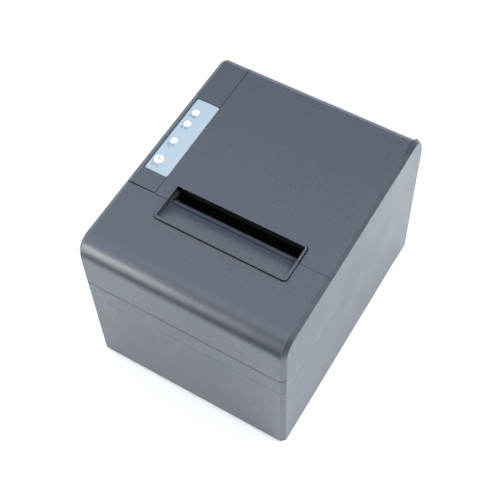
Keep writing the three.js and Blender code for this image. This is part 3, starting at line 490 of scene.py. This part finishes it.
def spring_strip(place, width, length):
    """A sloping spring contact, bent at its foot."""
    deselect_all()
    lean = math.radians(24)
    bpy.ops.mesh.primitive_cube_add(
        size=1, location=place, scale=(width, length, 0.2 * MM), rotation=(lean, 0, 0))
    piece = bake_place(bpy.context.object)
    bpy.ops.object.mode_set(mode="EDIT")
    bpy.ops.mesh.select_all(action="DESELECT")
    select_faces(piece, (0, -math.cos(lean), -math.sin(lean)))
    bpy.ops.mesh.extrude_region_move(TRANSFORM_OT_translate={"value": (0, -0.6 * MM, 0.9 * MM)})
    bpy.ops.object.mode_set(mode="OBJECT")
    round_edges(piece, 0.05 * MM, 1)
    return piece


def hex_post(name, end, radius, length):
    """A hexagonal screw post with a threaded hole in its end."""
    deselect_all()
    x, y, z = end
    bpy.ops.mesh.primitive_cylinder_add(
        vertices=6, radius=radius, depth=length, rotation=(-math.pi / 2, 0, 0),
        location=(x, y + length / 2 - 0.2 * MM, z))
    piece = bpy.context.object
    piece.name = name
    bake_place(piece)
    bpy.ops.object.mode_set(mode="EDIT")
    bpy.ops.mesh.select_all(action="DESELECT")
    select_faces(piece, (0, 1, 0))
    bpy.ops.mesh.inset(thickness=radius * 0.45, depth=0)
    bpy.ops.mesh.extrude_region_move(TRANSFORM_OT_translate={"value": (0, -length * 0.6, 0)})
    bpy.ops.object.mode_set(mode="OBJECT")
    round_edges(piece, 0.08 * MM)
    return piece


def mouth_centre(node):
    """Centre of a rear connector's mouth, on its rear face."""
    low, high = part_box(node)
    return (low[0] + high[0]) / 2, high[1], (low[2] + high[2]) / 2


def stroke(start, end, width, place, slope):
    """One printed line from start to end, in millimetres from the mark's centre."""
    deselect_all()
    across, along = end[0] - start[0], end[1] - start[1]
    x = place[0] + (start[0] + end[0]) / 2 * MM
    rise = (start[1] + end[1]) / 2 * MM
    length = math.hypot(across, along) * MM + width * MM * 0.9
    bpy.ops.mesh.primitive_cube_add(
        size=1, location=(x, place[1] + rise, place[2] + slope * rise + INK / 2),
        scale=(length, width * MM, INK), rotation=(math.atan(slope), 0, math.atan2(along, across)))
    piece = bake_place(bpy.context.object)
    bpy.ops.object.mode_set(mode="EDIT")
    bpy.ops.mesh.select_all(action="SELECT")
    bpy.ops.mesh.bevel(offset=INK * 0.4, segments=1, affect="EDGES")
    bpy.ops.object.mode_set(mode="OBJECT")
    return piece


def printed_mark(name, strokes, place, slope):
    """A small pictogram of printed strokes: each is start x, y, end x, y and width."""
    return joined(name, [stroke(s[:2], s[2:4], s[4], place, slope) for s in strokes])


def ring(x, y, radius, start, end, width, steps=10):
    """Strokes of a circular arc between two angles in degrees."""
    turns = [math.radians(start + (end - start) * i / steps) for i in range(steps + 1)]
    spots = [(x + radius * math.cos(turn), y + radius * math.sin(turn)) for turn in turns]
    return [(*a, *b, width) for a, b in zip(spots, spots[1:])]


# the marks' strokes, in millimetres from each mark's centre
POWER_MARK = (
    *ring(-1.6, 0, 0.75, 120, 420, LINE), (-1.6, 0.2, -1.6, 1.0, LINE),
    (0.4, 0.6, 0.4, -0.6, LINE), (0.4, 0.6, 1.3, 0.6, LINE), (1.3, 0.6, 1.3, -0.6, LINE),
    (0.4, -0.6, 1.3, -0.6, LINE), (1.3, 0.3, 2.2, 0.3, LINE), (1.3, -0.3, 2.2, -0.3, LINE),
)
ERROR_MARK = (
    (-2.3, -0.7, -0.9, -0.7, LINE), (-2.3, -0.7, -1.6, 0.7, LINE), (-0.9, -0.7, -1.6, 0.7, LINE),
    (0.3, -0.6, 1.5, 0.6, LINE), (0.3, 0.6, 1.5, -0.6, LINE), (2.1, -0.6, 2.1, 0.6, LINE),
)
PAPER_MARK = (
    *ring(-1.6, 0, 0.75, 0, 360, LINE), (-0.85, -0.75, 0.2, -0.75, LINE),
    (1.0, 0.7, 1.0, -0.6, LINE), (1.0, 0.7, 2.2, 0.7, LINE), (2.2, 0.7, 2.2, -0.6, LINE),
    (1.0, -0.6, 2.2, -0.6, LINE), (-0.6, -1.9, 0, -2.5, LINE), (0, -2.5, 0.6, -1.9, LINE),
)
FEED_MARK = (
    (-2.4, -0.8, -2.4, 0.8, LINE), (-2.4, 0.8, -1.2, 0.8, LINE), (-1.2, 0.8, -1.2, -0.8, LINE),
    (-2.4, -0.8, -1.2, -0.8, LINE), (-0.4, -0.4, 0.3, 0.4, LINE), (0.3, 0.4, 1.0, -0.4, LINE),
    (1.4, -0.4, 2.1, 0.4, LINE), (2.1, 0.4, 2.8, -0.4, LINE),
)
ARROW_MARK = (
    (-1.4, -0.3, 0, 0.9, 0.4), (0, 0.9, 1.4, -0.3, 0.4), (0, -1.0, 0, 0.2, 0.4),
)


# ---------------------------------------------------------------- operators
class PRINTER_OT_stage(bpy.types.Operator):
    """Set up the floor, the studio light and the camera"""

    bl_idname = "printer.stage"
    bl_label = "Stage"

    def execute(self, context):
        self.floor(context)
        self.even_light(context)
        self.lamps(context)
        self.backdrop(context)
        self.flag(context)
        self.camera(context)
        return {"FINISHED"}

    def floor(self, context):
        deselect_all()
        bpy.ops.mesh.primitive_plane_add(size=30, location=(0, 0, 0))
        floor = context.object
        floor.name = "studio_floor"
        paper = surface("matt_white_floor", context.scene.printer_finish.floor, 0.9,
                        grain=2.0, height=0.0, shade=0.004)
        floor.data.materials.append(paper)

    def even_light(self, context):
        world = bpy.data.worlds.new("studio")
        world.use_nodes = True
        background = world.node_tree.nodes["Background"]
        background.inputs["Color"].default_value = (0.94, 0.97, 1.0, 1.0)
        background.inputs["Strength"].default_value = context.scene.printer_stage.ambient
        context.scene.world = world
        context.scene.view_settings.view_transform = "Standard"

    def lamps(self, context):
        cool, pale, warm = (0.90, 0.95, 1.0), (0.92, 0.96, 1.0), (1.0, 1.0, 0.98)
        for name, place, aim, width, height, power, colour in (
            # places and sizes in metres, power in watts
            ("overhead_panel", (-0.3, -1.55, 3.2), (-0.3, -1.55, 0), 7.0, 7.0, 335, cool),
            ("rear_panel", (-1.3, 3.6, 1.15), (-1.3, 0, 0.9), 4.0, 1.7, 52, cool),
            ("front_left_card", (-0.44, -0.56, 0.3), (0, -0.08, 0.12), 0.3, 0.24, 0.9, warm),
            ("front_left_gloss", (-0.44, -0.56, 0.33), (0, -0.08, 0.12), 0.3, 0.36, 19.0, warm),
            ("right_softbox", (1.5, 0.9, 2.4), (0.1, 0.05, 0), 1.0, 1.0, 50, pale),
        ):
            data = bpy.data.lights.new(name, "AREA")
            data.shape = "RECTANGLE"
            data.size = width
            data.size_y = height
            data.energy = power
            data.color = colour
            lamp = bpy.data.objects.new(name, data)
            lamp.location = place
            direction = Vector(aim) - Vector(place)
            lamp.rotation_euler = direction.to_track_quat("-Z", "Y").to_euler()
            lamp.visible_camera = False
            lamp.visible_diffuse = name != "front_left_gloss"
            context.scene.collection.objects.link(lamp)

    def backdrop(self, context):
        # pale and all round, seen only by the camera
        deselect_all()
        bpy.ops.mesh.primitive_cylinder_add(vertices=64, radius=4.2, depth=12, location=(0, 0, 5.95))
        backdrop = context.object
        backdrop.name = "studio_backdrop"
        glow = bpy.data.materials.new("pale_backdrop")
        glow.use_nodes = True
        glow.node_tree.nodes.clear()
        light = add_node(glow.node_tree, "ShaderNodeEmission", None, {
            "Color": (0.95, 0.97, 1.0, 1.0), "Strength": 0.98})
        add_node(glow.node_tree, "ShaderNodeOutputMaterial", None, {"Surface": (light, "Emission")})
        backdrop.data.materials.append(glow)
        backdrop.visible_diffuse = False
        backdrop.visible_glossy = False
        backdrop.visible_shadow = False
        backdrop.visible_transmission = False

    def flag(self, context):
        # black and low in front, seen only in reflections: it draws the dark line under the nose
        deselect_all()
        bpy.ops.mesh.primitive_plane_add(
            size=1, location=(-0.1, -0.3, 0.062), rotation=(math.pi / 2, 0, 0), scale=(1.4, 0.12, 1))
        flag = context.object
        flag.name = "studio_flag"
        flag.data.materials.append(shade_and_flag_black())
        flag.visible_camera = False
        flag.visible_shadow = False
        flag.visible_diffuse = False

    def camera(self, context):
        stage = context.scene.printer_stage
        back = Vector((
            math.sin(stage.azimuth) * math.cos(stage.elevation),
            -math.cos(stage.azimuth) * math.cos(stage.elevation),
            math.sin(stage.elevation),
        ))
        right = Vector((0, 0, 1)).cross(back).normalized()
        up = back.cross(right)
        cosine, sine = math.cos(stage.roll), math.sin(stage.roll)
        turned_right = right * cosine + up * sine
        turned_up = up * cosine - right * sine
        data = bpy.data.cameras.new("camera")
        data.sensor_width = 36
        data.lens = stage.lens
        data.clip_start = 0.01
        data.dof.use_dof = False
        camera = bpy.data.objects.new("camera", data)
        turn = Matrix((turned_right, turned_up, back)).transposed().to_4x4()
        camera.matrix_world = Matrix.Translation(Vector(stage.aim) + back * stage.distance) @ turn
        context.scene.collection.objects.link(camera)
        context.scene.camera = camera


class PRINTER_OT_case(bpy.types.Operator):
    """Model the case mouldings with their rounded edges"""

    bl_idname = "printer.case"
    bl_label = "Case"

    def execute(self, context):
        width = context.scene.printer_case.edge_round
        # the cover's seams stand wider open than the rest: along its foot, and rear left beside the strip
        low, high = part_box("front_cover")
        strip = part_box("paper_lid")[0][0]
        foot_gap, rear_gap = 0.4 * MM, 0.35 * MM
        cover_shifts = (
            (low - Vector((MM, MM, MM)), Vector((high[0] + MM, high[1] + MM, low[2] + 0.05 * MM)),
             (0, 0, foot_gap)),
            (Vector((low[0] - MM, low[1] + 54 * MM, low[2])), Vector((strip, high[1] + MM, high[2] + MM)),
             (0, -rear_gap, 0)),
        )
        mouldings = {
            node: softened(node, f"{node}_moulding", width,
                           shifts=cover_shifts if node == "front_cover" else ())
            for node in ("lower_case", "upper_case", "front_cover", "paper_lid")
        }
        # the faces across each seam are painted black: painted shade between the mouldings
        paint_seam_shade(list(mouldings.values()))
        # the lid's wall above the paper slot is painted black: painted shade in the slot
        low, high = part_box("tear_bar")
        paint(mouldings["paper_lid"], shade_and_flag_black(), (low[0] - 3 * MM, high[1], high[2] - 10 * MM),
              (high[0] + 3 * MM, high[1] + 16 * MM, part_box("paper_lid")[1][2] - 1.5 * MM))
        return {"FINISHED"}


class PRINTER_OT_control_strip(bpy.types.Operator):
    """Model the control label, its windows, its key and their printed marks"""

    bl_idname = "printer.control_strip"
    bl_label = "Control strip"

    def execute(self, context):
        softened("control_label", "control_overlay", 0.06 * MM)
        for node in ("power_led_lens", "error_led_lens", "paper_led_lens"):
            softened(node, f"{node}_window", 0.3 * MM, 3)
        softened("feed_button", "feed_key_cap", 0.35 * MM, 3)
        softened("control_board", "control_board_parts", 0.0)
        marks = {
            "power_led_lens": POWER_MARK, "error_led_lens": ERROR_MARK,
            "paper_led_lens": PAPER_MARK, "feed_button": FEED_MARK,
        }
        label_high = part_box("control_label")[1]
        slope = (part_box("power_led_lens")[1][2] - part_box("paper_led_lens")[1][2]) / (
            middle("power_led_lens")[1] - middle("paper_led_lens")[1])
        for node, strokes in marks.items():
            centre = middle(node)
            y = centre[1] - ((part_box(node)[1][1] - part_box(node)[0][1]) / 2 + 1.5 * MM)
            z = label_high[2] - slope * (label_high[1] - y) + 0.01 * MM
            printed = printed_mark(f"{node}_mark", strokes, (centre[0], y, z), slope)
            finish_piece(printed, "control_label", legend_ink())
        centre = middle("feed_button")
        on_key = (centre[0], centre[1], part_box("feed_button")[1][2] + 0.005 * MM)
        arrow = printed_mark("feed_key_arrow", ARROW_MARK, on_key, slope)
        finish_piece(arrow, "feed_button", legend_ink())
        return {"FINISHED"}


class PRINTER_OT_paper_path(bpy.types.Operator):
    """Model the lid's inner frame, the tear bar, the platen, the hinge pins and the roll bucket"""

    bl_idname = "printer.paper_path"
    bl_label = "Paper path"

    def execute(self, context):
        width = context.scene.printer_case.small_round
        for node in ("lid_liner", "paper_end_sensor"):
            softened(node, f"{node}_moulding", width)
        softened("roll_bucket", "roll_bucket_moulding", 0.0)
        teeth = softened("tear_bar", "tear_bar_teeth", 0.03 * MM, 1)
        teeth.data.materials[0] = charcoal_abs()
        low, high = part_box("tear_bar")
        liner = bpy.data.objects["lid_liner_moulding"]
        # the liner's chute behind the tear bar is painted black: painted shade in the slot
        paint(liner, shade_and_flag_black(), (low[0] - 9 * MM, high[1], low[2] - 9 * MM),
              (high[0] + 9 * MM, high[1] + 25 * MM, high[2] + 2 * MM))
        for node in ("platen_shaft", "platen_bushing_left", "platen_bushing_right", "hinge_pin_left",
                     "hinge_pin_right"):
            softened(node, f"{node}_turned", 0.25 * MM)
        softened("platen_roller", "platen_roller_ground", 0.4 * MM)
        for node in ("platen_gear", "idler_gear", "motor_pinion", "idler_pin"):
            softened(node, f"{node}_moulded", 0.06 * MM, 1)
        return {"FINISHED"}


class PRINTER_OT_print_mechanism(bpy.types.Operator):
    """Model the print head, its frame, the motors, the cutter and the lid latch"""

    bl_idname = "printer.print_mechanism"
    bl_label = "Print mechanism"

    def execute(self, context):
        width = context.scene.printer_case.small_round
        blade = softened("fixed_blade", "fixed_blade_ground", BLADE_ROUND)
        # the fixed blade is drawn dark: painted shade at the back of the paper slot
        blade.data.materials[0] = dark_blade_slot_shade()
        for node in ("mechanism_frame", "cutter_tray", "moving_blade", "cutter_crank",
                     "head_heatsink", "latch_pin"):
            softened(node, f"{node}_formed", BLADE_ROUND)
        for node in ("latch_hook", "release_button"):
            softened(node, f"{node}_moulding", width)
        for node in ("head_spring_left", "head_spring_right"):
            softened(node, f"{node}_wire", 0.0)
        softened("print_head", "print_head_glaze", 0.08 * MM)
        low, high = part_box("print_head")
        for share in (0.12, 0.37, 0.62, 0.87):
            x = low[0] + (high[0] - low[0]) * share
            driver = block(f"head_driver_{round(share * 100)}",
                           (x - 5 * MM, high[1] - 1.2 * MM, high[2] - 9.5 * MM),
                           (x + 5 * MM, high[1] + 0.1 * MM, high[2] - 7 * MM), 0.3 * MM)
            finish_piece(driver, "print_head", chip_epoxy())
        motor = softened("feed_motor", "feed_motor_can", width)
        low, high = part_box("feed_motor")
        plain = sheet_steel()
        paint(motor, plain, (low[0] - MM, low[1], low[2]), (low[0] + 2.7 * MM, high[1], high[2]))
        paint(motor, nylon(), (low[0] + 5 * MM, low[1], low[2] - MM),
              (high[0] - 3 * MM, high[1], low[2] + 1.2 * MM))
        cutter = softened("cutter_motor", "cutter_motor_can", width)
        low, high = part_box("cutter_motor")
        paint(cutter, plain, (low[0], low[1], high[2] - 2.5 * MM), (high[0], high[1], high[2] + MM))
        low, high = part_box("release_button")
        margin, pitch, half = 3.2 * MM, 2.15 * MM, 0.4 * MM
        ribs = []
        for index in range(5):
            y = low[1] + margin + index * pitch
            ribs.append(block("rib", (low[0] - 0.25 * MM, y - half, low[2] + margin),
                              (low[0] + 0.3 * MM, y + half, high[2] - margin), 0.15 * MM))
        finish_piece(joined("release_grip_ribs", ribs), "release_button", charcoal_abs())
        return {"FINISHED"}


class PRINTER_OT_electronics(bpy.types.Operator):
    """Model the boards, the rear connectors with their contacts, and the power switch"""

    bl_idname = "printer.electronics"
    bl_label = "Electronics"

    def execute(self, context):
        width = context.scene.printer_case.small_round
        board = softened("main_board", "main_board_assembly", 0.1 * MM)
        low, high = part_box("main_board")
        base = low[2] + 1.62 * MM
        chip, can, plug = chip_epoxy(), aluminium(), nylon()
        for x0, y0, x1, y1, material in (
            # millimetres from the board's front left corner
            (25.5, 18.5, 45, 39, chip), (53, 15, 67, 29, chip), (7, 27, 17, 45, chip),
            (3, 2, 33, 10, plug), (39, 2, 77, 10, plug), (66, 34, 78, 46, can), (55, 37, 65, 47, can),
        ):
            paint(board, material, (low[0] + x0 * MM, low[1] + y0 * MM, base),
                  (low[0] + x1 * MM, low[1] + y1 * MM, high[2] + MM))
        softened("interface_plate", "interface_panel", 0.0, clean=False)
        for node in ("dc_inlet", "usb_port", "lan_port", "drawer_port", "serial_port"):
            softened(node, f"{node}_shell", 0.25 * MM)
        self.contacts()
        softened("switch_body", "switch_bezel", width)
        softened("power_rocker", "power_rocker_cap", 0.3 * MM, 3)
        return {"FINISHED"}

    def contacts(self):
        """Contacts, tongues, lamps and screw posts in the mouths of the rear connectors"""
        for node, columns, pitch, size, reach in (
            ("dc_inlet", 3, 2.4, 0.5, 6.5), ("serial_port", 5, 2.3, 0.32, 4.2),
        ):
            x, y, z = mouth_centre(node)
            pins = []
            for column in range(columns):
                place = (x + (column - (columns - 1) / 2) * pitch * MM, y, z + 0.9 * MM)
                pins.append(pin(place, size * MM, reach * MM))
            if node == "serial_port":
                for column in range(4):
                    place = (x + (column - 1.5) * pitch * MM, y, z - 1.1 * MM)
                    pins.append(pin(place, size * MM, reach * MM))
            else:
                pins.append(pin((x, y, z - 1.9 * MM), size * MM, reach * MM))
            finish_piece(joined(f"{node}_pins", pins), node, gold_plating())
        for node, count, width, pitch in (("lan_port", 8, 0.45, 1.02), ("drawer_port", 6, 0.5, 1.05)):
            x, y, z = mouth_centre(node)
            strips = []
            for index in range(count):
                offset = (index - (count - 1) / 2) * pitch * MM
                strips.append(spring_strip((x + offset, y - 3 * MM, z + 2.2 * MM), width * MM, 6.5 * MM))
            finish_piece(joined(f"{node}_contacts", strips), node, gold_plating())
        x, y, z = mouth_centre("usb_port")
        tongue = block("usb_tongue", (x - 2.8 * MM, y - 8.8 * MM, z - 1.6 * MM),
                       (x + 2.8 * MM, y - 1.5 * MM, z + 1.6 * MM), 0.4 * MM)
        finish_piece(tongue, "usb_port", nylon())
        fingers = [
            block("finger", (x + dx * MM - 0.5 * MM, y - 8 * MM, z + side * 1.62 * MM - 0.12 * MM),
                  (x + dx * MM + 0.5 * MM, y - 2.2 * MM, z + side * 1.62 * MM + 0.12 * MM), 0.08 * MM)
            for dx in (-1.25, 1.25) for side in (-1, 1)
        ]
        finish_piece(joined("usb_contacts", fingers), "usb_port", gold_plating())
        low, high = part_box("lan_port")
        for name, x0, material in (
            ("green", low[0] + 1.2 * MM, green_lamp()), ("amber", high[0] - 4.4 * MM, amber_lamp()),
        ):
            lamp = block(f"lan_lamp_{name}", (x0, high[1] - MM, high[2] - 2.3 * MM),
                         (x0 + 3.2 * MM, high[1] + 0.1 * MM, high[2] - 0.7 * MM), 0.15 * MM)
            finish_piece(lamp, "lan_port", material)
        low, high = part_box("serial_port")
        for side, x0 in (("left", low[0] + 1.05 * MM), ("right", high[0] - 1.05 * MM)):
            post = hex_post(f"serial_post_{side}", (x0, high[1], (low[2] + high[2]) / 2), 1.0 * MM, 1.6 * MM)
            finish_piece(post, "serial_port", sheet_steel())


class PRINTER_OT_base(bpy.types.Operator):
    """Model the base plate, the rubber feet and the case screws"""

    bl_idname = "printer.base"
    bl_label = "Base"

    def execute(self, context):
        softened("base_plate", "base_plate_moulding", context.scene.printer_case.edge_round)
        for corner in ("front_left", "front_right", "rear_left", "rear_right"):
            softened(f"foot_{corner}", f"foot_{corner}_pad", 0.3 * MM, 3)
            softened(f"case_screw_{corner}", f"case_screw_{corner}_head", 0.12 * MM)
        return {"FINISHED"}


class PRINTER_PT_panel(bpy.types.Panel):
    """Lists the printer's pieces, sizes and colours"""

    bl_idname = "PRINTER_PT_panel"
    bl_label = "Receipt Printer"
    bl_space_type = "VIEW_3D"
    bl_region_type = "UI"
    bl_category = "Receipt Printer"

    def draw(self, context):
        for operator in OPERATORS:
            self.layout.operator(operator.bl_idname)
        for group in (context.scene.printer_case, context.scene.printer_finish,
                      context.scene.printer_stage):
            for name in group.bl_rna.properties.keys():
                if name not in ("rna_type", "name"):
                    self.layout.prop(group, name)


OPERATORS = (
    PRINTER_OT_stage, PRINTER_OT_case, PRINTER_OT_control_strip, PRINTER_OT_paper_path,
    PRINTER_OT_print_mechanism, PRINTER_OT_electronics, PRINTER_OT_base,
)
GROUPS = {"printer_case": CaseSizes, "printer_finish": FinishColours, "printer_stage": StageSettings}


def register():
    for name, group in GROUPS.items():
        bpy.utils.register_class(group)
        setattr(bpy.types.Scene, name, bpy.props.PointerProperty(type=group))
    for operator in OPERATORS:
        bpy.utils.register_class(operator)
    bpy.utils.register_class(PRINTER_PT_panel)


def unregister():
    bpy.utils.unregister_class(PRINTER_PT_panel)
    for operator in reversed(OPERATORS):
        bpy.utils.unregister_class(operator)
    for name, group in reversed(GROUPS.items()):
        delattr(bpy.types.Scene, name)
        bpy.utils.unregister_class(group)


def main():
    register()
    for operator in OPERATORS:
        family, action = operator.bl_idname.split(".")
        getattr(getattr(bpy.ops, family), action)()


if __name__ == "__main__":
    main()
